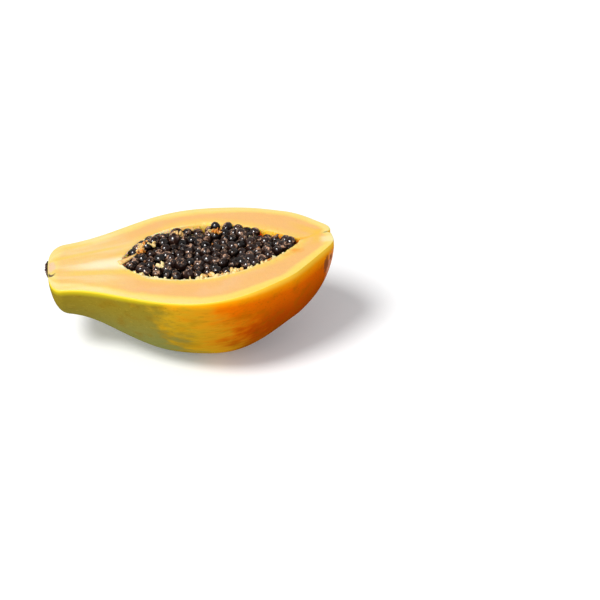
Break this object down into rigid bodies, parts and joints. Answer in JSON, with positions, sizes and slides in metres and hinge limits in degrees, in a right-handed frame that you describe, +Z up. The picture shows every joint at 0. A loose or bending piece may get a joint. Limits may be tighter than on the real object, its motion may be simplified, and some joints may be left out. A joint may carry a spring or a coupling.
{
  "type": "halved papaya",
  "caption": "Ripe papaya cut in half lengthwise, lying on its rounded skin with the cut face up and the cavity full of dark seeds.",
  "frame": {"origin": "on the surface it rests on, under the middle of the half's overall box", "axes": "+X from the stem end to the blossom end, +Z up out of the cut face's side, +Y across the cut face, away from the picture's viewer"},
  "size_m": [0.175, 0.1144, 0.0705],
  "materials": {
    "flesh": "moist ripe flesh, salmon orange with yellow bands, under a smooth waxy skin that turns from green to orange",
    "seeds": "wet, nearly black seeds in thin brownish coats",
    "stalk": "dry, corky, dark brown"
  },
  "bodies": {
    "root": {"fruit_half": "flesh", "seed_heap": "seeds", "stalk_stub": "stalk"}
  },
  "joints": []
}
